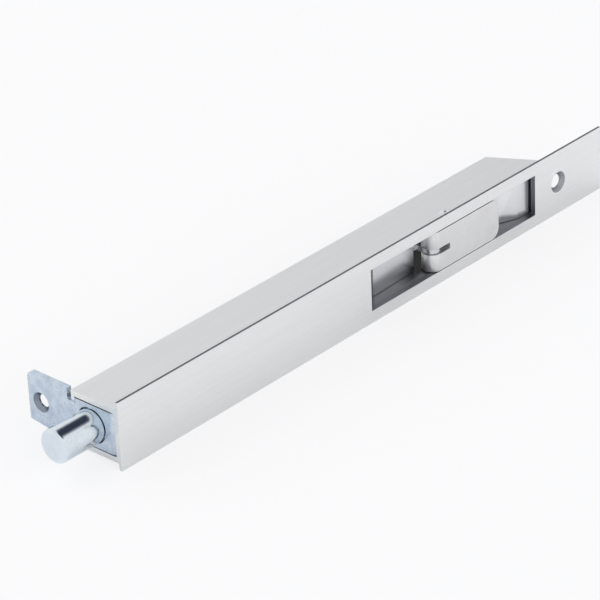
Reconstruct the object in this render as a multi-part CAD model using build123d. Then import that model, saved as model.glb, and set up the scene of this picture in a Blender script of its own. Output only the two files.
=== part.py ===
"""Lever-action flush bolt for the edge of a door.

Frame: +X runs along the bolt axis into the case, +Y goes into the door behind the face plate and
+Z goes across the face plate. The origin is where the bolt's axis leaves the end plate.
The bolt is thrown and the lever lies flush, with its free end away from the bolt.
"""
from build123d import *
import math
import os

# ---- driving sizes, millimetres and degrees ----
PLATE_LENGTH = 250.0          # face plate, end to end
PLATE_WIDTH = 25.0            # face plate, across
PLATE_THICK = 2.0             # front wall of the profile
EDGE_THICK = 1.0              # thin outer edge of the face plate's two flanges
ROOT_THICK = 1.4              # flange where it meets the side wall
BARE_THICK = 1.8              # bare end of the face plate, milled clean behind
CASE_WIDTH = 20.0             # outside of the two side walls
CASE_DEPTH = 21.0             # face to the rear edge of the side walls
WALL = 2.0                    # side wall
LIP_THICK = 1.5               # inward lips along the open rear
LIP_REACH = 1.5               # how far each lip reaches in
BARE_LENGTH = 30.0            # face plate beyond the side walls
CASE_RAKE = 10.5              # how much shorter the side walls are at the rear

WINDOW_INSET = 8.5            # lever window to the end of the side walls
WINDOW_LENGTH = 90.0
WINDOW_LEDGE = 0.1            # front wall left standing inside each side wall

FACE_SCREW_INSET = 5.0        # countersunk screw hole, beyond the side walls
FACE_SCREW_BORE = 5.0
FACE_SCREW_SINK = 8.2

BOLT_DEPTH = 12.5             # bolt axis behind the face
BOLT_DIAMETER = 12.0
BOLT_THROWN = 17.0            # how far the bolt stands out when thrown
BOLT_TAIL = 3.9               # how far it stands out of the rear of its guide
BOLT_TIP_RADIUS = 1.2
BOLT_BORE_GAP = 0.4           # bolt to the bore of the end plate, on radius
GUIDE_GAP = 0.1               # sliding clearance in the moulded guides
GROOVE_WIDTH = 0.8            # grease groove just behind the nose of the bolt
GROOVE_DEPTH = 0.3

END_THICK = 2.0               # zinc-plated end plate
EAR_LENGTH = 20.0             # fixing ear, behind the rear edge of the case
EAR_WIDTH = 20.0
EAR_CORNER = 2.0
EAR_HOLE_INSET = 5.5          # the ear's screw hole to its rear edge
EAR_HOLE_BORE = 4.5
EAR_HOLE_SINK = 7.3
NOTCH_WIDTH = 12.0            # neck of the end plate between its two notches
NOTCH_REACH = 1.75            # notch beyond the rear edge of the case
SLIP = 0.1                    # clearance of what slides into the profile

BLOCK_LENGTH = 20.0           # moulded bolt guide, and the foot that carries it
PEG_DIAMETER = 4.0            # pegs of the bolt guide through the foot
PEG_SPACING = 10.0

BAR_THICK = 2.0               # flat drive bar
BAR_WIDTH = 7.0
BAR_LAP = 18.0                # bar let into the rear of the bolt
RIVET_DIAMETER = 3.0
RIVET_HEAD = 5.0
RIVET_HEAD_THICK = 0.8
RIVET_COVER = 0.9             # metal left in front of a rivet's blind end
RIVET_FIRST = 5.4             # start of the flat to the first rivet
RIVET_SPACING = 8.1
BAR_GUIDE_SETBACK = 32.0      # start of the drive bar's moulded guide, ahead of the link pin
BAR_GUIDE_LENGTH = 8.0
SPRING_THICK = 0.4            # bowed friction spring
SPRING_LENGTH = 20.0          # bow, beyond the bar guide
SPRING_WIDTH = 6.0

PIVOT_SHIFT = 0.5             # lever pivot, from the window's middle towards the bolt
PIVOT_DEPTH = 3.75            # also the radius of the lever's knuckle
PIVOT_DIAMETER = 3.0
PIVOT_HEAD = 4.6
PIVOT_HEAD_THICK = 0.7
CRANK = 8.0                   # pivot to crank pin
CRANK_DIAMETER = 3.0
PIN_GAP = 0.05                # running clearance of the pins, on radius
LEVER_REACH = 24.5            # pivot to the free end
LEVER_SIDE_GAP = 0.3          # lever to the window, each side
LEVER_TAPER = 1.3             # how much thinner the lever is at its free end
LEVER_CORNER = 4.0
LEVER_SLOT_WIDTH = 2.3
LEVER_WEB = 2.5               # pivot to the floor of the slot
LEVER_SWING = 178.0           # flush to lying over, degrees

LINK_THICK = 2.0
LINK_EYE = 6.0                # diameter of the nose round the crank pin
LINK_WIDTH = 4.0
LINK_BEHIND = 1.0             # lever's rear face to the front edge of the link
LINK_CHAMFER = 1.0
LINK_REACH = 68.0             # crank pin to link pin
LINK_PIN_DIAMETER = 3.0
LINK_END = 6.4                # diameter of the link's other end
LAYER_GAP = 0.2               # link to drive bar
EYE_GAP = 0.3                 # least clearance of the link pin in the bar's eye
EYE_WALL = 1.6
WASHER_LAP = 1.2              # washer beyond the bar's eye, each side
WASHER_THICK = 0.8

LINER_THICK = 0.8
LINER_CLEAR = 1.75            # lever's swinging knuckle to the end of each liner
LINER_DROP = 0.1              # end of the liner, in front of the lever's rear face
LINER_SLOPE = 0.9             # how much shallower the liner is where its ramp starts
LINER_SHALLOW = 3.4           # top of the ramp, behind the face
LINER_RAMP = 7.5              # length of the ramp
LINER_LANDING = 6.0           # ramp to the window's end on the screw side
LINER_SAG = 0.5               # liner behind the front wall at that end
LINER_TUCK = 1.0              # liner under the front wall before it bends
LINER_END_GAP = 2.0           # liner to the end of the side walls
LINER_LEG = 9.0               # length of the liner's legs
LEG_OVERRUN = 3.0             # screw-side legs beyond the top of the ramp

# ---- worked out from them ----
FACE = -BOLT_DEPTH
INSIDE = FACE + PLATE_THICK
REAR = FACE + CASE_DEPTH
LIP_FRONT = REAR - LIP_THICK
HALF_OUT = CASE_WIDTH / 2
HALF_IN = HALF_OUT - WALL
HALF_LIP = HALF_IN - LIP_REACH
HALF_SLIP = HALF_IN - SLIP
CASE_LENGTH = PLATE_LENGTH - BARE_LENGTH
WINDOW_WIDTH = 2 * (HALF_IN - WINDOW_LEDGE)
WINDOW_END = CASE_LENGTH - WINDOW_INSET
WINDOW_START = WINDOW_END - WINDOW_LENGTH
FACE_SCREW_X = CASE_LENGTH + FACE_SCREW_INSET
EAR_REACH = CASE_DEPTH + EAR_LENGTH
FOOT_LENGTH = END_THICK + BLOCK_LENGTH
BOLT_INSIDE = FOOT_LENGTH + SLIP + BOLT_TAIL
BOLT_RADIUS = BOLT_DIAMETER / 2
SWING = math.radians(LEVER_SWING)
THROW = CRANK * (1 - math.cos(SWING))
PIVOT_X = (WINDOW_START + WINDOW_END) / 2 - PIVOT_SHIFT
PIVOT_Y = FACE + PIVOT_DEPTH
KNUCKLE_DEPTH = 2 * PIVOT_DEPTH
LEVER_WIDTH = WINDOW_WIDTH - 2 * LEVER_SIDE_GAP
LEVER_TAIL_THICK = KNUCKLE_DEPTH - LEVER_TAPER
CRANK_X = PIVOT_X - CRANK
LINK_DEPTH = KNUCKLE_DEPTH + LINK_BEHIND
LINK_PIN_X = CRANK_X - LINK_REACH
LINK_PIN_Y = -CRANK / 2
BAR_GUIDE_START = LINK_PIN_X - BAR_GUIDE_SETBACK
LINER_GAP = CRANK + PIVOT_DEPTH + LINER_CLEAR
LINER_DEEP = KNUCKLE_DEPTH - LINER_DROP
LINER_FLAT = LINER_DEEP - LINER_SLOPE
BAR_LOW = LINK_THICK / 2 + LAYER_GAP
BAR_HIGH = BAR_LOW + BAR_THICK


# ---- shapes ----
def block(x, y, z):
    """Box between two limits on each axis."""
    size = [high - low for low, high in (x, y, z)]
    return Pos(x[0], y[0], z[0]) * Box(*size, align=(Align.MIN, Align.MIN, Align.MIN))


def slab(points, z):
    """Outline in X and Y, carried between two heights."""
    outline = make_face(Polyline(*points, close=True))
    return Pos(0, 0, z[0]) * extrude(outline, z[1] - z[0])


def pin(x, y, diameter, z):
    """Round pin along Z."""
    align = (Align.CENTER, Align.CENTER, Align.MIN)
    return Pos(x, y, z[0]) * Cylinder(diameter / 2, z[1] - z[0], align=align)


def rod(diameter, x, y=0.0, z=0.0):
    """Round bar along X."""
    align = (Align.CENTER, Align.CENTER, Align.MIN)
    return Pos(x[0], y, z) * Rot(0, 90, 0) * Cylinder(diameter / 2, x[1] - x[0], align=align)


def screw_hole(bore, sink, thick):
    """Countersunk hole down +Z from the outer face at Z 0."""
    align = (Align.CENTER, Align.CENTER, Align.MIN)
    drop = (sink - bore) / 2
    hole = Pos(0, 0, -1) * Cylinder(bore / 2, thick + 2, align=align)
    cone = Cone(sink / 2, bore / 2, drop, align=align)
    return hole + cone


def both_sides(half):
    """A piece and its mirror across the middle plane."""
    return half + mirror(half, about=Plane.XY)


# ---- case: one extruded profile ----
def make_case():
    half = [
        (FACE, 0),
        (FACE, PLATE_WIDTH / 2),
        (FACE + EDGE_THICK, PLATE_WIDTH / 2),
        (FACE + ROOT_THICK, HALF_OUT),
        (REAR, HALF_OUT),
        (REAR, HALF_LIP),
        (LIP_FRONT, HALF_LIP),
        (LIP_FRONT, HALF_IN),
        (INSIDE, HALF_IN),
        (INSIDE, 0),
    ]
    section = Plane.YZ * make_face(Polyline(*half, close=True))
    case = both_sides(extrude(section, PLATE_LENGTH))

    # the side walls end in a slanted cut and leave the face plate bare
    slope = CASE_RAKE / (REAR - INSIDE)
    start = FACE + BARE_THICK
    beyond = REAR + 1
    cut = [
        (CASE_LENGTH + slope * (INSIDE - start), start),
        (PLATE_LENGTH + 1, start),
        (PLATE_LENGTH + 1, beyond),
        (CASE_LENGTH - slope * (beyond - INSIDE), beyond),
    ]
    case -= slab(cut, (-PLATE_WIDTH, PLATE_WIDTH))

    half_window = WINDOW_WIDTH / 2
    case -= block((WINDOW_START, WINDOW_END), (FACE - 1, INSIDE), (-half_window, half_window))
    hole = screw_hole(FACE_SCREW_BORE, FACE_SCREW_SINK, PLATE_THICK)
    case -= Pos(FACE_SCREW_X, FACE, 0) * Rot(-90, 0, 0) * hole
    return case - pin(PIVOT_X, PIVOT_Y, PIVOT_DIAMETER, (-CASE_WIDTH, CASE_WIDTH))


# ---- end plate: flat across the end, an ear behind, a foot bent along the front wall ----
def make_end_plate():
    front = INSIDE + SLIP
    notch_front = LIP_FRONT - SLIP
    notch_rear = REAR + NOTCH_REACH
    ear_rear = FACE + EAR_REACH
    ear_hole_y = ear_rear - EAR_HOLE_INSET
    half_neck = NOTCH_WIDTH / 2
    half_ear = EAR_WIDTH / 2
    thick = (0, END_THICK)

    plate = block(thick, (front, notch_front), (-HALF_SLIP, HALF_SLIP))
    plate += block(thick, (notch_front, notch_rear), (-half_neck, half_neck))
    ear = block(thick, (notch_rear, ear_rear), (-half_ear, half_ear))
    corners = ear.edges().filter_by(Axis.X).group_by(Axis.Y)[-1]
    plate += fillet(corners, EAR_CORNER)
    plate += block((0, FOOT_LENGTH), (front, front + END_THICK), (-HALF_SLIP, HALF_SLIP))
    bend = plate.edges().filter_by(Axis.Z).group_by(Axis.Y)[0].group_by(Axis.X)[0]
    plate = fillet(bend, END_THICK)

    plate -= rod(BOLT_DIAMETER + 2 * BOLT_BORE_GAP, (-1, END_THICK + 1))
    ear_hole = screw_hole(EAR_HOLE_BORE, EAR_HOLE_SINK, END_THICK)
    plate -= Pos(0, ear_hole_y, 0) * Rot(0, 90, 0) * ear_hole
    for peg in make_pegs():
        plate -= peg
    return plate


# ---- moulded guides ----
def make_pegs():
    middle = (END_THICK + FOOT_LENGTH) / 2
    align = (Align.CENTER, Align.CENTER, Align.MIN)
    peg = Rot(-90, 0, 0) * Cylinder(PEG_DIAMETER / 2, END_THICK, align=align)
    front = INSIDE + SLIP
    return [Pos(middle + side * PEG_SPACING / 2, front, 0) * peg for side in (-1, 1)]


def make_bolt_guide():
    start = END_THICK + SLIP
    front = INSIDE + SLIP + END_THICK
    across = (-HALF_SLIP, HALF_SLIP)
    guide = block((start, start + BLOCK_LENGTH), (front, LIP_FRONT - SLIP), across)
    guide -= rod(BOLT_DIAMETER + 2 * GUIDE_GAP, (0, FOOT_LENGTH + 2))
    for peg in make_pegs():
        guide += peg
    return guide


def spring_seat():
    """Lower and upper face of the spring's flat tail."""
    low = (BAR_HIGH + HALF_IN) / 2
    return low, low + SPRING_THICK


def make_bar_guide():
    x = (BAR_GUIDE_START, BAR_GUIDE_START + BAR_GUIDE_LENGTH)
    guide = block(x, (INSIDE + SLIP, LIP_FRONT - SLIP), (-HALF_SLIP, HALF_SLIP))
    through = (x[0] - 1, x[1] + 1)
    half = BAR_WIDTH / 2 + GUIDE_GAP
    guide -= block(through, (-half, half), (BAR_LOW - GUIDE_GAP, BAR_HIGH + GUIDE_GAP))
    low, high = spring_seat()
    return guide - block(through, (-SPRING_WIDTH / 2, SPRING_WIDTH / 2), (low, high))


def make_friction_spring():
    """Strip with a flat tail in the bar guide, bowed down until it just rests on the drive bar."""
    low, high = spring_seat()
    start = BAR_GUIDE_START + BAR_GUIDE_LENGTH
    middle = start + SPRING_LENGTH / 2
    end = start + SPRING_LENGTH
    touch = BAR_HIGH + PIN_GAP
    lower = ThreePointArc((start, low), (middle, touch), (end, low))
    upper = ThreePointArc((end, high), (middle, touch + SPRING_THICK), (start, high))
    tip = Line((end, low), (end, high))
    tail = Polyline((start, high), (BAR_GUIDE_START, high), (BAR_GUIDE_START, low), (start, low))
    outline = make_face([*lower.edges(), *tip.edges(), *upper.edges(), *tail.edges()])
    side = Plane.XZ.offset(-SPRING_WIDTH / 2) * outline
    return extrude(side, SPRING_WIDTH)


# ---- bolt, drive bar and the rivets between them ----
def rivet_places():
    first = BOLT_INSIDE - BAR_LAP + RIVET_FIRST
    return [first, first + RIVET_SPACING]


def make_bolt():
    bolt = rod(BOLT_DIAMETER, (-BOLT_THROWN, BOLT_INSIDE))
    tip = bolt.edges().filter_by(GeomType.CIRCLE).sort_by(Axis.X)[0]
    bolt = fillet(tip, BOLT_TIP_RADIUS)
    ring = rod(BOLT_DIAMETER + 2, (0, GROOVE_WIDTH))
    bolt -= ring - rod(BOLT_DIAMETER - 2 * GROOVE_DEPTH, (0, GROOVE_WIDTH))
    wide = (-BOLT_DIAMETER, BOLT_DIAMETER)
    bolt -= block((BOLT_INSIDE - BAR_LAP, BOLT_INSIDE + 1), wide, (BAR_LOW, BOLT_DIAMETER))
    for x in rivet_places():
        bolt -= pin(x, 0, RIVET_DIAMETER, (RIVET_COVER - BOLT_RADIUS, BAR_HIGH))
    return bolt


def make_bolt_rivets():
    rivets = []
    for x in rivet_places():
        shank = pin(x, 0, RIVET_DIAMETER, (RIVET_COVER - BOLT_RADIUS, BAR_HIGH))
        rivets.append(shank + pin(x, 0, RIVET_HEAD, (BAR_HIGH, BAR_HIGH + RIVET_HEAD_THICK)))
    return Compound(rivets)


def eye_drift():
    """How far the crank leads or lags a bolt that moves in step with the lever's angle."""
    quickest = math.asin(THROW / (CRANK * SWING))
    return abs(CRANK * (1 - math.cos(quickest)) - THROW * quickest / SWING)


def eye_half_width():
    return eye_drift() + LINK_PIN_DIAMETER / 2 + EYE_GAP


def make_drive_bar():
    """Flat bar with an oval eye, which lets the link pin rise and fall behind the lever."""
    half = eye_half_width()
    rise = CRANK + LINK_PIN_DIAMETER + 2 * EYE_GAP
    centre = LINK_PIN_Y + CRANK / 2
    height = (BAR_LOW, BAR_HIGH)
    start = BOLT_INSIDE - BAR_LAP + SLIP
    bar = block((start, LINK_PIN_X - half), (-BAR_WIDTH / 2, BAR_WIDTH / 2), height)

    def oval(extra):
        wide = 2 * (half + extra)
        shape = SlotOverall(rise + 2 * extra, wide, rotation=90)
        return Pos(LINK_PIN_X, centre, BAR_LOW) * extrude(shape, BAR_THICK)

    bar = bar + oval(EYE_WALL) - oval(0)
    for x in rivet_places():
        bar -= pin(x, 0, RIVET_DIAMETER, (BAR_LOW - 1, BAR_HIGH + 1))
    return bar


# ---- link: a hook that passes behind the lever's pivot ----
def make_link():
    z = (-LINK_THICK / 2, LINK_THICK / 2)
    front = FACE + LINK_DEPTH
    rear = front + LINK_WIDTH
    nose = LINK_EYE / 2
    slant = CRANK_X - LINK_REACH / 3
    half_end = LINK_WIDTH / 2
    body = [
        (CRANK_X + nose, PIVOT_Y),
        (CRANK_X + nose, rear - LINK_CHAMFER),
        (CRANK_X + nose - LINK_CHAMFER, rear),
        (slant, rear),
        (LINK_PIN_X, LINK_PIN_Y + half_end),
        (LINK_PIN_X, LINK_PIN_Y - half_end),
        (slant, front),
        (CRANK_X - nose, front),
        (CRANK_X - nose, PIVOT_Y),
    ]
    link = slab(body, z)
    link += pin(CRANK_X, PIVOT_Y, LINK_EYE, z)
    link += pin(LINK_PIN_X, LINK_PIN_Y, LINK_END, z)
    link -= pin(CRANK_X, PIVOT_Y, CRANK_DIAMETER + 2 * PIN_GAP, (-LINK_THICK, LINK_THICK))
    return link - pin(LINK_PIN_X, LINK_PIN_Y, LINK_PIN_DIAMETER, (-LINK_THICK, LINK_THICK))


def washer_height():
    low = BAR_HIGH + LAYER_GAP / 2
    return low, low + WASHER_THICK


def make_link_pin():
    low = -LINK_THICK / 2
    top = washer_height()[1]
    shank = pin(LINK_PIN_X, LINK_PIN_Y, LINK_PIN_DIAMETER, (low, top))
    shank += pin(LINK_PIN_X, LINK_PIN_Y, RIVET_HEAD, (low - RIVET_HEAD_THICK, low))
    return shank + pin(LINK_PIN_X, LINK_PIN_Y, RIVET_HEAD, (top, top + RIVET_HEAD_THICK))


def make_link_washer():
    low, high = washer_height()
    diameter = 2 * (eye_half_width() + WASHER_LAP)
    washer = pin(LINK_PIN_X, LINK_PIN_Y, diameter, (low, high))
    return washer - pin(LINK_PIN_X, LINK_PIN_Y, LINK_PIN_DIAMETER, (low - 1, high + 1))


# ---- lever ----
def make_lever():
    half = LEVER_WIDTH / 2
    end = PIVOT_X + LEVER_REACH
    knuckle_rear = FACE + KNUCKLE_DEPTH
    body = [
        (CRANK_X, FACE),
        (end, FACE),
        (end, FACE + LEVER_TAIL_THICK),
        (PIVOT_X + CRANK, knuckle_rear),
        (CRANK_X, knuckle_rear),
    ]
    lever = slab(body, (-half, half))
    corners = lever.edges().filter_by(Axis.Y).group_by(Axis.X)[-1]
    lever = fillet(corners, LEVER_CORNER)
    lever += pin(CRANK_X, PIVOT_Y, KNUCKLE_DEPTH, (-half, half))
    slot = LEVER_SLOT_WIDTH / 2
    reach = (CRANK_X - KNUCKLE_DEPTH, PIVOT_X - LEVER_WEB)
    lever -= block(reach, (FACE - 1, knuckle_rear + 1), (-slot, slot))
    lever -= pin(PIVOT_X, PIVOT_Y, PIVOT_DIAMETER + 2 * PIN_GAP, (-half - 1, half + 1))
    return lever - pin(CRANK_X, PIVOT_Y, CRANK_DIAMETER, (-half - 1, half + 1))


def make_crank_pin():
    half = LEVER_WIDTH / 2
    return pin(CRANK_X, PIVOT_Y, CRANK_DIAMETER, (-half, half))


def make_pivot_pin():
    shank = pin(PIVOT_X, PIVOT_Y, PIVOT_DIAMETER, (-HALF_OUT, HALF_OUT))
    head = pin(PIVOT_X, PIVOT_Y, PIVOT_HEAD, (HALF_OUT, HALF_OUT + PIVOT_HEAD_THICK))
    rim = head.edges().filter_by(GeomType.CIRCLE).sort_by(Axis.Z)[-1]
    return shank + both_sides(chamfer(rim, PIVOT_HEAD_THICK / 2))


# ---- liners: bent strips that close the recess on each side of the lever ----
def make_liner(route, leg_x):
    """Strip along a route of X and depth, with two legs that reach back to the lips."""
    line = [(x, FACE + depth) for x, depth in route]
    back = [(x, y + LINER_THICK) for x, y in reversed(line)]
    strip = slab(line + back, (-HALF_SLIP, HALF_SLIP))
    top = min(y for x, y in line)
    leg = block(leg_x, (top, LIP_FRONT - SLIP), (HALF_SLIP - LINER_THICK, HALF_SLIP))
    above = slab([(x, y) for x, y in line] + [(line[-1][0], top - 1), (line[0][0], top - 1)],
                 (-HALF_IN, HALF_IN))
    return strip + both_sides(leg - above)


def tucked():
    """Depth of a liner's end that lies against the back of the face plate."""
    return PLATE_THICK + SLIP


def make_liner_bolt_side():
    ramp_end = WINDOW_START + LINER_THICK
    ramp_start = ramp_end + LINER_RAMP
    leg_end = WINDOW_START - LINER_TUCK
    leg_start = leg_end - LINER_LEG
    route = [
        (leg_start, tucked()),
        (leg_end, tucked()),
        (ramp_end, LINER_SHALLOW),
        (ramp_start, LINER_FLAT),
        (PIVOT_X - LINER_GAP, LINER_DEEP),
    ]
    return make_liner(route, (leg_start, leg_end))


def make_liner_screw_side():
    ramp_end = WINDOW_END - LINER_LANDING
    ramp_start = ramp_end - LINER_RAMP
    leg_end = ramp_end + LEG_OVERRUN
    route = [
        (PIVOT_X + LINER_GAP, LINER_DEEP),
        (ramp_start, LINER_FLAT),
        (ramp_end, LINER_SHALLOW),
        (WINDOW_END + LINER_TUCK, tucked() + LINER_SAG),
        (CASE_LENGTH - LINER_END_GAP, tucked()),
    ]
    return make_liner(route, (leg_end - LINER_LEG, leg_end))


PIECES = {
    "case": make_case,
    "end_plate": make_end_plate,
    "bolt_guide": make_bolt_guide,
    "bar_guide": make_bar_guide,
    "friction_spring": make_friction_spring,
    "bolt": make_bolt,
    "bolt_rivets": make_bolt_rivets,
    "drive_bar": make_drive_bar,
    "link": make_link,
    "link_pin": make_link_pin,
    "link_washer": make_link_washer,
    "lever": make_lever,
    "crank_pin": make_crank_pin,
    "pivot_pin": make_pivot_pin,
    "liner_bolt_side": make_liner_bolt_side,
    "liner_screw_side": make_liner_screw_side,
}

os.makedirs("parts", exist_ok=True)
for name, make in PIECES.items():
    export_step(make(), f"parts/{name}.step")
print(f"throw {THROW:.3f} mm over {LEVER_SWING:.0f} degrees")
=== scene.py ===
"""Looks of the lever-action flush bolt: finishes, small formed details, studio and camera.

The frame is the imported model, in metres: +X along the bolt into the case, +Y into the door behind
the face plate, +Z across the face plate. The part lies on the lower edge of its face plate.
"""
import logging
import math
from dataclasses import dataclass
from enum import Enum
from typing import Any, Iterable, Optional

import bmesh
import bpy
import numpy as np
from mathutils import Matrix, Vector


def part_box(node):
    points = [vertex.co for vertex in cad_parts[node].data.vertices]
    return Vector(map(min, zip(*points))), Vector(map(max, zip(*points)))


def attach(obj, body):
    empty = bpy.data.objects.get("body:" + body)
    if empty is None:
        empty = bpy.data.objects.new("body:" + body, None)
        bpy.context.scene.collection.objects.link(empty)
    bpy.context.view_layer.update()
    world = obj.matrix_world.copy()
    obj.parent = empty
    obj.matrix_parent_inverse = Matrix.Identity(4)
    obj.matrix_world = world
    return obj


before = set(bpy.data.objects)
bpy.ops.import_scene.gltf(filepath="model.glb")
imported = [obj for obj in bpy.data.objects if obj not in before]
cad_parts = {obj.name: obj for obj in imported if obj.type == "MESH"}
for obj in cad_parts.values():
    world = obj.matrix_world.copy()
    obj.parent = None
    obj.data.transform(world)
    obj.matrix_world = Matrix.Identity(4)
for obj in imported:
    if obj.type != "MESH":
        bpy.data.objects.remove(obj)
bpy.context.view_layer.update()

MM = 0.001
MERGE_DISTANCE = 0.0005 * MM   # points this close are one point of a turned piece
WELD_DISTANCE = 0.002 * MM     # corners this close are one corner of a node
RELIEF_DEPTH = 0.05 * MM       # height of a finish's texture at full strength
log = logging.getLogger("flush_bolt")


# ---- colour and shader helpers ----
def linear(colour: str) -> tuple[float, float, float, float]:
    """Turns an sRGB hex colour into linear RGBA.

    Args:
        colour: six hex digits, such as "c8ccd0".

    Returns:
        Red, green, blue and alpha, each from 0 to 1.
    """
    channels = [int(colour[i:i + 2], 16) / 255 for i in (0, 2, 4)]
    parts = [c / 12.92 if c <= 0.04045 else ((c + 0.055) / 1.055) ** 2.4 for c in channels]
    return parts[0], parts[1], parts[2], 1.0


def add_node(tree: bpy.types.NodeTree, kind: str, settings: Optional[dict[str, Any]] = None,
             **links: Any) -> bpy.types.Node:
    """Adds one node, sets its properties and fills its inputs.

    Args:
        tree: the node tree it goes into.
        kind: the node's type name, without the ShaderNode prefix.
        settings: node properties by name.
        **links: inputs by name, with underscores for spaces, or in0, in1 by place.
            A socket is linked and anything else is set as the socket's value.

    Returns:
        The new node.
    """
    node = tree.nodes.new("ShaderNode" + kind)
    for name, value in (settings or {}).items():
        setattr(node, name, value)
    for name, value in links.items():
        place = name[2:]
        key: Any = int(place) if name.startswith("in") and place.isdigit() else name.replace("_", " ")
        socket = node.inputs[key]
        if isinstance(value, bpy.types.NodeSocket):
            tree.links.new(value, socket)
        else:
            socket.default_value = value
    return node


class Direction(Enum):
    """Way in which a surface was worked."""

    ALONG = (1.0, 0.0, 0.0)
    ACROSS = (0.0, 0.0, 1.0)


# ---- finishes ----
@dataclass(frozen=True)
class Patch:
    """A box, in millimetres, in which a finish takes a painted darker tone that stands in for shade,
    shadow and reflections, such as on a cut edge.

    The fade is the width of its soft border along each axis.
    """

    low: tuple[float, float, float]
    high: tuple[float, float, float]
    shade: str
    fade: tuple[float, float, float] = (0.03, 0.03, 0.03)

    def mask(self, tree: bpy.types.NodeTree, where: bpy.types.NodeSocket) -> bpy.types.NodeSocket:
        """Value of 1 inside the box and 0 outside it.

        Args:
            tree: the material's node tree.
            where: the surface point in the part's frame.

        Returns:
            The smallest share of the three axes, where each share is how far the point lies
            inside the box along that axis, divided by the fade and held between 0 and 1.
        """
        middle = [(a + b) / 2 * MM for a, b in zip(self.low, self.high)]
        half = [(b - a) / 2 * MM for a, b in zip(self.low, self.high)]
        offset = add_node(tree, "VectorMath", {"operation": "SUBTRACT"}, in0=where, in1=middle)
        away = add_node(tree, "VectorMath", {"operation": "ABSOLUTE"}, in0=offset.outputs[0])
        inside = add_node(tree, "VectorMath", {"operation": "SUBTRACT"}, in0=half,
                          in1=away.outputs[0])
        shares = add_node(tree, "VectorMath", {"operation": "DIVIDE"}, in0=inside.outputs[0],
                          in1=[length * MM for length in self.fade])
        sides = add_node(tree, "SeparateXYZ", None, in0=shares.outputs[0])
        least = add_node(tree, "Math", {"operation": "MINIMUM"}, in0=sides.outputs[0],
                         in1=sides.outputs[1])
        least = add_node(tree, "Math", {"operation": "MINIMUM"}, in0=least.outputs[0],
                         in1=sides.outputs[2])
        return add_node(tree, "MapRange", None, Value=least.outputs[0]).outputs[0]


@dataclass(frozen=True)
class Finish:
    """A surface finish. The subclasses add their own pattern to it."""

    name: str
    slot: str
    light: str
    dark: str
    roughness: float
    metallic: float = 1.0
    spread: float = 0.08
    bump: float = 0.1
    # boxes of painted shade, shadow and reflection, each laid over the colour
    patches: tuple[Patch, ...] = ()

    def pattern(self, tree: bpy.types.NodeTree) -> bpy.types.NodeSocket:
        """Gives the value from 0 to 1 that drives colour, roughness and bump."""
        raise NotImplementedError

    def build(self) -> bpy.types.Material:
        """Makes the material, or gives it back if it was made before."""
        made = bpy.data.materials.get(self.name)
        if made is not None:
            return made
        material = bpy.data.materials.new(self.name)
        material.use_nodes = True
        tree = material.node_tree
        tree.nodes.clear()
        value = self.pattern(tree)
        colour = add_node(tree, "Mix", {"data_type": "RGBA"}, in0=value, in6=linear(self.dark),
                          in7=linear(self.light)).outputs[2]
        where = add_node(tree, "TexCoord").outputs["Object"] if self.patches else None
        # each patch mixes in a painted darker tone that stands in for shade, shadow and reflections
        for patch in self.patches:
            colour = add_node(tree, "Mix", {"data_type": "RGBA"}, in0=patch.mask(tree, where),
                              in6=colour, in7=linear(patch.shade)).outputs[2]
        rough = add_node(tree, "MapRange", None, Value=value, To_Min=self.roughness + self.spread,
                         To_Max=self.roughness - self.spread)
        relief = add_node(tree, "Bump", None, Strength=self.bump, Distance=RELIEF_DEPTH, Height=value)
        shader = add_node(tree, "BsdfPrincipled", None, Base_Color=colour,
                          Metallic=self.metallic, Roughness=rough.outputs[0],
                          Normal=relief.outputs[0])
        add_node(tree, "OutputMaterial", None, Surface=shader.outputs[0])
        return material

    def dress(self, piece: bpy.types.Object) -> None:
        """Puts the finish on a piece."""
        material = self.build()
        slots = piece.data.materials
        slots.clear()
        slots.append(material)


@dataclass(frozen=True)
class Brushed(Finish):
    """Fine straight lines left by an extrusion die, a belt or a roll."""

    spacing: float = 0.3
    length: float = 40.0
    worked: Direction = Direction.ALONG
    detail: float = 3.0
    fine_share: float = 0.6
    contrast: tuple[float, float] = (0.3, 0.7)

    def pattern(self, tree: bpy.types.NodeTree) -> bpy.types.NodeSocket:
        """Noise stretched along the way of working; spacing and length are in millimetres."""
        where = add_node(tree, "TexCoord")
        scale = [(1 / self.length if way else 1 / self.spacing) / MM for way in self.worked.value]
        place = add_node(tree, "Mapping", None, Vector=where.outputs["Object"], Scale=scale)
        lines = add_node(tree, "TexNoise", None, Vector=place.outputs[0], Scale=1.0,
                         Detail=self.detail, Roughness=self.fine_share)
        return add_node(tree, "MapRange", None, Value=lines.outputs[0], From_Min=self.contrast[0],
                        From_Max=self.contrast[1]).outputs[0]


@dataclass(frozen=True)
class Mottled(Finish):
    """Cloudy patches with fine grit over them, as plating has."""

    patch: float = 4.0
    grit: float = 0.4
    grit_share: float = 0.45
    detail: float = 2.0
    contrast: tuple[float, float] = (0.35, 0.65)

    def pattern(self, tree: bpy.types.NodeTree) -> bpy.types.NodeSocket:
        """Two noises added: clouds of one size and grit of another, in millimetres."""
        where = add_node(tree, "TexCoord").outputs["Object"]
        clouds = add_node(tree, "TexNoise", None, Vector=where, Scale=1 / (self.patch * MM),
                          Detail=self.detail)
        grit = add_node(tree, "TexNoise", None, Vector=where, Scale=1 / (self.grit * MM),
                        Detail=self.detail)
        both = add_node(tree, "Mix", None, in0=self.grit_share, in2=clouds.outputs[0],
                        in3=grit.outputs[0])
        return add_node(tree, "MapRange", None, Value=both.outputs[0], From_Min=self.contrast[0],
                        From_Max=self.contrast[1]).outputs[0]


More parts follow.
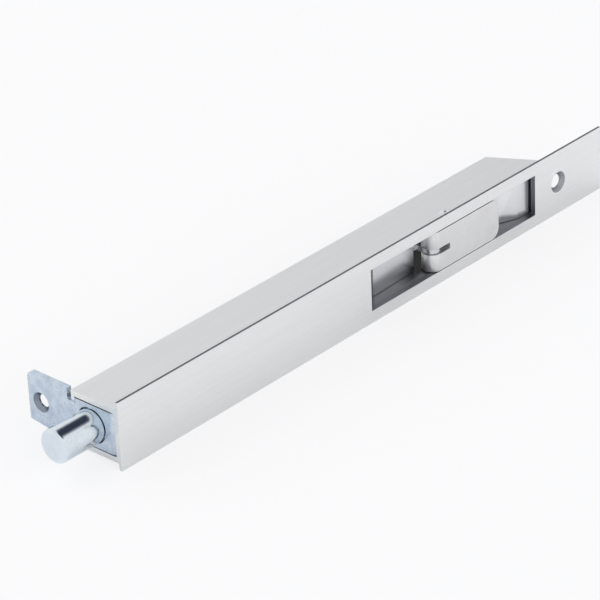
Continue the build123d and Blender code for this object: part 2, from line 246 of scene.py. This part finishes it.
@dataclass(frozen=True)
class CaseLayout:
    """Where the case's painted shade, shadow and reflections go on its cut and hidden surfaces, in
    millimetres, from its own box.
    """

    wall: float = 2.0
    inner_half: float = 8.0
    mouth: float = 1.0
    lip_edge: float = 0.4
    recess: float = 3.0
    lever_zone: tuple[float, float] = (141.0, 197.0)
    deep_fade: tuple[float, float, float] = (12.0, 2.5, 0.05)
    bare: float = 30.0
    overrun: float = 1.0
    flange_edge: float = 1.02
    edge_skin: float = 0.05
    corner: float = 0.1
    window_start: float = 121.5
    window_end: float = 211.5
    window_half: float = 7.9
    window_lip: float = 0.12
    hole: float = 225.0
    hole_half: float = 4.2
    hole_land: float = 0.3
    skin: float = 0.06
    # Painted shade: the tones below are darker colours that stand in for shade, shadow and dark
    # reflections on these surfaces.
    painted_hollow_shade: str = "88898d"
    painted_deep_shadow: str = "0b0b0c"
    painted_window_edge_shade: str = "85878d"
    painted_countersink_shade: str = "a4a6ab"
    painted_flange_edge_shade: str = "6a6c72"

    def hollow(self) -> tuple[Patch, ...]:
        """The inside of the extrusion, with painted shade, and painted shadow darkest deep behind the
        lever.
        """
        low, high = (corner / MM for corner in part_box("case"))
        inner = self.inner_half + self.skin
        rear = high.y - self.lip_edge
        end = high.x - self.bare + self.overrun
        return (
            # painted shade inside the extrusion, then painted shadow deep in the recess behind the
            # lever
            Patch((self.mouth, low.y + self.wall - self.skin, -inner), (end, rear, inner),
                  self.painted_hollow_shade),
            Patch((self.lever_zone[0], low.y + self.recess, -inner),
                  (self.lever_zone[1], rear, inner), self.painted_deep_shadow, self.deep_fade),
        )

    def cuts(self) -> tuple[Patch, ...]:
        """Painted shade and reflections on the milled edges of the lever window and in the
        countersink of the screw hole.
        """
        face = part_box("case")[0].y / MM
        back = face + self.wall
        half = self.window_half + self.skin
        return (
            # painted shade and reflection on the window's cut edges, then in the countersink
            Patch((self.window_start - self.skin, face + self.window_lip, -half),
                  (self.window_end + self.skin, back + self.skin, half), self.painted_window_edge_shade),
            Patch((self.hole - self.hole_half, face + self.skin, -self.hole_half),
                  (self.hole + self.hole_half, back - self.hole_land, self.hole_half),
                  self.painted_countersink_shade),
        )

    def flanges(self) -> tuple[Patch, ...]:
        """Painted shade and reflections along the thin edges of the two flanges."""
        low, high = (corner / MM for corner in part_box("case"))
        start, front = low.x + self.corner, low.y + self.corner
        rear = low.y + self.flange_edge
        return (
            # painted shade and reflection along the upper and lower flange edges
            Patch((start, front, high.z - self.edge_skin), (high.x, rear, high.z + self.corner),
                  self.painted_flange_edge_shade),
            Patch((start, front, low.z - self.corner), (high.x, rear, low.z + self.edge_skin),
                  self.painted_flange_edge_shade),
        )

    def patches(self) -> tuple[Patch, ...]:
        """All the case's painted shade tones, each over the ones before it."""
        return self.hollow() + self.cuts() + self.flanges()


@dataclass(frozen=True)
class EndPlateLayout:
    """Where the end plate's painted shade, shadow and reflections go, in millimetres, from its own
    box.
    """

    thick: float = 2.0
    hole: float = 23.0
    hole_half: float = 3.75
    half: float = 7.9
    gap_shadow_width: float = 0.28
    gap_shadow_depth: float = 0.5
    short_of_rear: float = 1.6
    over: float = 0.1
    face_skin: float = 0.07
    back_skin: float = 0.05
    # Painted shade: the tones below are darker colours that stand in for shade, shadow and dark
    # reflections.
    painted_countersink_shade: str = "8a93a0"
    painted_gap_shadow: str = "2a2c30"

    def patches(self) -> tuple[Patch, ...]:
        """Painted shade and reflections in the countersink, and painted shadow of the gaps along the
        two edges beside the walls.
        """
        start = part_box("end_plate")[0].y / MM
        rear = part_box("case")[1].y / MM - self.short_of_rear
        inner = self.half - self.gap_shadow_width
        outer = self.half + self.over
        return (
            Patch((self.face_skin, self.hole - self.hole_half, -self.hole_half),
                  (self.thick - self.back_skin, self.hole + self.hole_half, self.hole_half),
                  self.painted_countersink_shade),
            Patch((-self.over, start, inner), (self.gap_shadow_depth, rear, outer), self.painted_gap_shadow),
            Patch((-self.over, start, -outer), (self.gap_shadow_depth, rear, -inner), self.painted_gap_shadow),
        )


# Natural anodised aluminium extrusion: satin, pale, with faint die lines along its length, and
# painted shade, shadow and reflections laid into its hollow, cut edges and flange edges.
ANODISED = Brushed("anodised_extrusion", "anodised_aluminium", "f2f3f2", "edeeee", 0.40,
                   spread=0.02, bump=0.03, patches=CaseLayout().patches())
# Rolled aluminium strip: brighter than the case, so it mirrors the recess softly.
ROLLED_STRIP = Brushed("rolled_aluminium_strip", "liner_aluminium", "e9eaec", "e6e7e9", 0.25,
                       spread=0.003, bump=0.004, spacing=0.5, worked=Direction.ACROSS)
# Satin-coated zinc casting: even grey with a very fine grit.
SATIN_CASTING = Mottled("satin_casting", "satin_lever", "ebebeb", "e5e5e5", 0.44, spread=0.03,
                        bump=0.04, patch=6.0, grit=0.3)
# Blue-passivated zinc plate on pressed steel: pale blue and faintly cloudy, with painted shade and
# reflections in its countersink and painted shadow along its edges by the walls.
ZINC_PLATE = Mottled("blue_zinc_plate", "zinc_plate", "dbe5ef", "b9c8d8", 0.30, spread=0.08,
                     bump=0.12, patch=3.5, grit=0.45, patches=EndPlateLayout().patches())
# Clear-passivated zinc on small pressed parts: the same plate without the blue.
PRESSED_ZINC = Mottled("clear_zinc_plate", "zinc_plate", "e6e8ea", "d3d6da", 0.24, spread=0.05,
                       bump=0.08, patch=3.0, grit=0.4)
# Turned and peened steel, bare of colour.
PEENED_STEEL = Mottled("peened_steel", "bright_plated_steel", "e8e9eb", "d6d8db", 0.16,
                       spread=0.04, bump=0.06, patch=2.0, grit=0.3)
# Bright zinc plate on turned steel: nearly a mirror, with a cold tint.
BRIGHT_PLATE = Mottled("bright_zinc_plate", "bright_plated_steel", "e6eef4", "dae3ea", 0.15,
                       spread=0.03, bump=0.03, patch=5.0, grit=0.6)
# Aluminium torn up by a punch: bare, a little darker and rougher than the anodised skin.
STAKED_METAL = Mottled("staked_aluminium", "anodised_aluminium", "c9cacc", "b4b5b8", 0.38,
                       bump=0.1, patch=1.0, grit=0.2)
# Blued spring strip: dark, smooth, lengthwise rolling lines.
BLUED_SPRING = Brushed("blued_spring_strip", "spring_steel", "7d838c", "60656f", 0.3, spacing=0.4)
# Moulded nylon: matt black with a fine moulded grain.
BLACK_NYLON = Mottled("moulded_nylon", "black_nylon", "1d1e20", "141516", 0.5, metallic=0.0,
                      bump=0.2, patch=2.0, grit=0.35)


# ---- sub-assemblies ----
@dataclass
class SubAssembly:
    """A group of CAD nodes with their finishes."""

    finishes: dict[str, Finish]
    edge: float = 0.0
    edge_angle: float = math.radians(32)

    def soften(self, piece: bpy.types.Object) -> None:
        """Joins a node's loose triangles and breaks its sharp edges, if it has an edge size."""
        if not self.edge:
            return
        weld = piece.modifiers.new("joined", "WELD")
        weld.merge_threshold = WELD_DISTANCE
        bevel = piece.modifiers.new("broken_edges", "BEVEL")
        bevel.width = self.edge
        bevel.segments = 2
        bevel.limit_method = "ANGLE"
        bevel.angle_limit = self.edge_angle
        bevel.harden_normals = True
        bevel.use_clamp_overlap = True

    def build(self) -> None:
        """Dresses each node, breaks its edges and reports it."""
        for name, finish in self.finishes.items():
            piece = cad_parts[name]
            finish.dress(piece)
            self.soften(piece)
            log.info("%s: %s", name, finish.name)


# ---- small formed details ----
def turned(name: str, profile: np.ndarray, place: np.ndarray, turn: np.ndarray,
           segments: int = 48) -> bpy.types.Object:
    """Makes a closed solid of revolution.

    The point at step i of the profile and angle a is (r cos a, r sin a, h), turned by the matrix
    and moved to its place, where r and h are the profile's radius and height at that step.

    Args:
        name: the piece's name.
        profile: rows of radius and height in millimetres, from the axis out and back to it.
        place: where the profile's zero lies, in millimetres.
        turn: 3 by 3 matrix whose rows are the directions of the piece's own three axes.
        segments: steps round the axis.

    Returns:
        The new object, at the origin, with its place in its mesh.
    """
    angle = np.linspace(0, 2 * np.pi, segments, endpoint=False)
    radius, height = profile[:, :1], profile[:, 1:]
    own = np.stack([radius * np.cos(angle), radius * np.sin(angle),
                    height + 0 * angle], axis=-1)
    points = (own.reshape(-1, 3) @ turn + place) * MM
    step, side = np.meshgrid(np.arange(len(profile) - 1), np.arange(segments), indexing="ij")
    beside = (side + 1) % segments
    faces = np.stack([step * segments + side, step * segments + beside,
                      (step + 1) * segments + beside, (step + 1) * segments + side], axis=-1)
    mesh = bpy.data.meshes.new(name)
    mesh.from_pydata(points, [], faces.reshape(-1, 4).tolist())
    shape = bmesh.new()
    shape.from_mesh(mesh)
    bmesh.ops.remove_doubles(shape, verts=shape.verts, dist=MERGE_DISTANCE)
    bmesh.ops.recalc_face_normals(shape, faces=shape.faces)
    shape.to_mesh(mesh)
    shape.free()
    mesh.shade_smooth()
    piece = bpy.data.objects.new(name, mesh)
    bpy.context.scene.collection.objects.link(piece)
    return piece


@dataclass
class PeenedPivot:
    """Domes that the hammer left on both heads of the lever's pivot, in millimetres."""

    radius: float = 1.9
    rise: float = 0.3
    punch: float = 0.4
    punch_radius: float = 0.5
    sunk: float = 0.02
    root: float = 0.2
    steps: int = 32

    def profile(self) -> np.ndarray:
        """Half ellipse over the head, less a bell-shaped punch mark in its middle."""
        share = np.sin(np.linspace(0, np.pi / 2, self.steps))
        radius = self.radius * share
        dome = self.rise * np.sqrt(1 - share ** 2)
        mark = self.punch * np.exp(-(radius / self.punch_radius) ** 2)
        top = np.stack([radius, dome - mark * (1 - share ** 2) - self.sunk], axis=-1)
        depth = -self.root - self.punch
        return np.vstack([top, [[self.radius, depth], [0, depth]]])

    def build(self) -> None:
        """Puts a dome on each head, riding with the case."""
        low, high = (np.array(corner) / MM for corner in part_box("pivot_pin"))
        middle = (low + high) / 2
        heads = (("pivot_dome_upper", high[2], 1.0), ("pivot_dome_lower", low[2], -1.0))
        for name, level, up in heads:
            turn = np.diag([1.0, up, up])
            piece = turned(name, self.profile(), np.array([middle[0], middle[1], level]), turn)
            PEENED_STEEL.dress(piece)
            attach(piece, "case_body")
            log.info("%s: %s", name, PEENED_STEEL.name)


@dataclass
class StakedLips:
    """Punch burrs on the rear lips, which lock the two moulded guides in the profile."""

    radius: float = 1.3
    rim: float = 0.9
    rim_width: float = 0.25
    rise: float = 0.22
    sink: float = 0.3
    skin: float = 0.01
    in_from_wall: float = 0.6
    ends: float = 5.0
    steps: int = 28

    def profile(self) -> np.ndarray:
        """Low ring: its height is a bell curve of the distance from the rim's radius."""
        radius = np.linspace(0, self.radius, self.steps)
        height = self.rise * np.exp(-((radius - self.rim) / self.rim_width) ** 2) - self.skin
        top = np.stack([radius, height], axis=-1)
        return np.vstack([top, [[self.radius, -self.sink], [0, -self.sink]]])

    def build(self) -> None:
        """Puts burrs beside both ends of the bolt's guide and in the middle of the bar's guide."""
        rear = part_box("case")[1].y / MM
        block_low, block_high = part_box("bolt_guide")
        bar_low, bar_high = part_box("bar_guide")
        half = block_high.z / MM - self.in_from_wall
        places = (block_low.x / MM + self.ends, block_high.x / MM - self.ends,
                  (bar_low.x + bar_high.x) / 2 / MM)
        turn = np.array([[1.0, 0.0, 0.0], [0.0, 0.0, -1.0], [0.0, 1.0, 0.0]])
        for count, x in enumerate(places, start=1):
            for side, name in ((1, "upper"), (-1, "lower")):
                label = f"lip_stake_{name}_{count}"
                piece = turned(label, self.profile(), np.array([x, rear, side * half]), turn)
                STAKED_METAL.dress(piece)
                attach(piece, "case_body")
                log.info("%s: %s", label, STAKED_METAL.name)


# ---- studio ----
@dataclass(frozen=True)
class Lamp:
    """A square soft lamp: its place and side in metres, and its power in watts."""

    name: str
    place: tuple[float, float, float]
    size: float
    power: float
    target: tuple[float, float, float] = (0.12, 0.0, 0.0)

    def build(self) -> None:
        """Adds the lamp, pointing at the part."""
        data = bpy.data.lights.new(self.name, "AREA")
        data.energy = self.power
        data.size = self.size
        lamp = bpy.data.objects.new(self.name, data)
        bpy.context.scene.collection.objects.link(lamp)
        lamp.location = self.place
        # the lamps light the floor; the metal mirrors the floor and the surround alone
        lamp.visible_glossy = False
        way = Vector(self.target) - Vector(self.place)
        lamp.rotation_euler = way.to_track_quat("-Z", "Y").to_euler()


@dataclass(frozen=True)
class DarkZone:
    """A dark cone of the surround: its direction, and its half angles in degrees."""

    towards: tuple[float, float, float]
    inner: float
    outer: float


@dataclass(frozen=True)
class Studio:
    """White floor, soft surround with two dark zones overhead, and two soft lamps."""

    floor_size: float = 6.0
    floor_colour: str = "fcfcfd"
    floor_glow: float = 0.8
    floor_gap: float = 0.02
    case_half: float = 10.0
    surround: str = "f6f6f7"
    overhead: str = "353c4a"
    zones: tuple[DarkZone, ...] = (
        DarkZone((0.641, 0.067, 0.764), 13.0, 33.0),
        DarkZone((0.10, -0.20, 0.97), 18.0, 32.0),
    )
    lamps: tuple[Lamp, ...] = (
        Lamp("soft_back_lamp", (-0.5, 0.9, 1.3), 1.8, 9.0),
        Lamp("soft_front_lamp", (0.3, -1.4, 0.4), 2.6, 12.0),
    )

    def floor(self) -> None:
        """Flat sheet under the part, by the face plate's and the case's lower edges.

        The part rests on the face plate's lower edge and on the case's lower rear edge, so the
        sheet rises from one to the other, and stays the floor gap in millimetres below them.
        """
        low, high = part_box("case")
        rise = (-self.case_half * MM - low.z) / (high.y - low.y)
        half = self.floor_size / 2
        gap = self.floor_gap * MM

        def height(y: float) -> float:
            """Height of the sheet at a distance behind the face plate."""
            return low.z - gap + rise * (y - low.y)

        corners = [(-half, -half), (half, -half), (half, half), (-half, half)]
        mesh = bpy.data.meshes.new("studio_floor")
        mesh.from_pydata([(x, y, height(y)) for x, y in corners], [], [(0, 1, 2, 3)])
        sheet = bpy.data.objects.new("studio_floor", mesh)
        bpy.context.scene.collection.objects.link(sheet)
        material = bpy.data.materials.new("white_paper")
        material.use_nodes = True
        tree = material.node_tree
        tree.nodes.clear()
        paper = add_node(tree, "BsdfDiffuse", None, Color=linear(self.floor_colour))
        white = add_node(tree, "Emission", None, Color=linear(self.floor_colour), Strength=1.0)
        path = add_node(tree, "LightPath")
        share = add_node(tree, "Math", {"operation": "MULTIPLY"}, in0=path.outputs["Is Camera Ray"],
                         in1=self.floor_glow)
        seen = add_node(tree, "MixShader", None, in0=share.outputs[0], in1=paper.outputs[0],
                        in2=white.outputs[0])
        add_node(tree, "OutputMaterial", None, Surface=seen.outputs[0])
        mesh.materials.append(material)

    def world(self) -> None:
        """Pale surround that turns dark inside a cone round each zone's direction."""
        world = bpy.data.worlds.new("surround")
        bpy.context.scene.world = world
        world.use_nodes = True
        tree = world.node_tree
        tree.nodes.clear()
        where = add_node(tree, "TexCoord").outputs["Generated"]
        sky: Any = linear(self.surround)
        for zone in self.zones:
            near = add_node(tree, "VectorMath", {"operation": "DOT_PRODUCT"}, in0=where,
                            in1=Vector(zone.towards).normalized())
            share = add_node(tree, "MapRange", {"interpolation_type": "SMOOTHSTEP"},
                             Value=near.outputs["Value"],
                             From_Min=math.cos(math.radians(zone.outer)),
                             From_Max=math.cos(math.radians(zone.inner)))
            sky = add_node(tree, "Mix", {"data_type": "RGBA"}, in0=share.outputs[0], in6=sky,
                           in7=linear(self.overhead)).outputs[2]
        path = add_node(tree, "LightPath")
        seen = add_node(tree, "Mix", {"data_type": "RGBA"}, in0=path.outputs["Is Camera Ray"],
                        in6=sky, in7=(1.0, 1.0, 1.0, 1.0))
        light = add_node(tree, "Background", None, Color=seen.outputs[2], Strength=1.0)
        add_node(tree, "OutputWorld", None, Surface=light.outputs[0])

    def build(self) -> None:
        """Sets up the floor, the surround, the lamps and the view settings."""
        self.floor()
        self.world()
        for lamp in self.lamps:
            lamp.build()
        bpy.context.scene.view_settings.view_transform = "Standard"
        log.info("studio ready")


@dataclass(frozen=True)
class Viewpoint:
    """Long lens from the front left, above the part."""

    place: tuple[float, float, float] = (-0.5675, -0.6230, 0.50025)
    right: tuple[float, float, float] = (0.666, -0.745, -0.041)
    forward: tuple[float, float, float] = (0.641, 0.599, -0.479)
    lens: float = 185.3
    sensor: float = 36.0
    near: float = 0.05
    far: float = 20.0

    def build(self) -> None:
        """Makes the camera and turns it to look along forward with right to its right."""
        data = bpy.data.cameras.new("camera")
        data.lens = self.lens
        data.sensor_width = self.sensor
        data.clip_start = self.near
        data.clip_end = self.far
        camera = bpy.data.objects.new("camera", data)
        bpy.context.scene.collection.objects.link(camera)
        back = -Vector(self.forward).normalized()
        side = Vector(self.right)
        side = (side - back * side.dot(back)).normalized()
        turn = Matrix((side, back.cross(side), back)).transposed()
        camera.matrix_world = Matrix.Translation(self.place) @ turn.to_4x4()
        bpy.context.scene.camera = camera
        log.info("camera ready")


def assemblies() -> Iterable[SubAssembly]:
    """The part's sub-assemblies, from the outside in."""
    yield SubAssembly({"case": ANODISED, "liner_bolt_side": ROLLED_STRIP,
                       "liner_screw_side": ROLLED_STRIP}, edge=0.15 * MM)
    yield SubAssembly({"pivot_pin": PEENED_STEEL, "crank_pin": PEENED_STEEL})
    yield SubAssembly({"end_plate": ZINC_PLATE}, edge=0.2 * MM)
    yield SubAssembly({"bolt_guide": BLACK_NYLON, "bar_guide": BLACK_NYLON}, edge=0.2 * MM)
    yield SubAssembly({"lever": SATIN_CASTING}, edge=0.25 * MM)
    yield SubAssembly({"link": PRESSED_ZINC, "link_pin": PEENED_STEEL, "link_washer": PRESSED_ZINC})
    yield SubAssembly({"bolt": BRIGHT_PLATE, "bolt_rivets": PRESSED_ZINC, "drive_bar": PRESSED_ZINC,
                       "friction_spring": BLUED_SPRING})


def main() -> None:
    """Builds the scene in order and reports each piece."""
    logging.basicConfig(level=logging.INFO, format="%(name)s: %(message)s")
    Viewpoint().build()
    for assembly in assemblies():
        assembly.build()
    PeenedPivot().build()
    StakedLips().build()
    Studio().build()


if __name__ == "__main__":
    main()
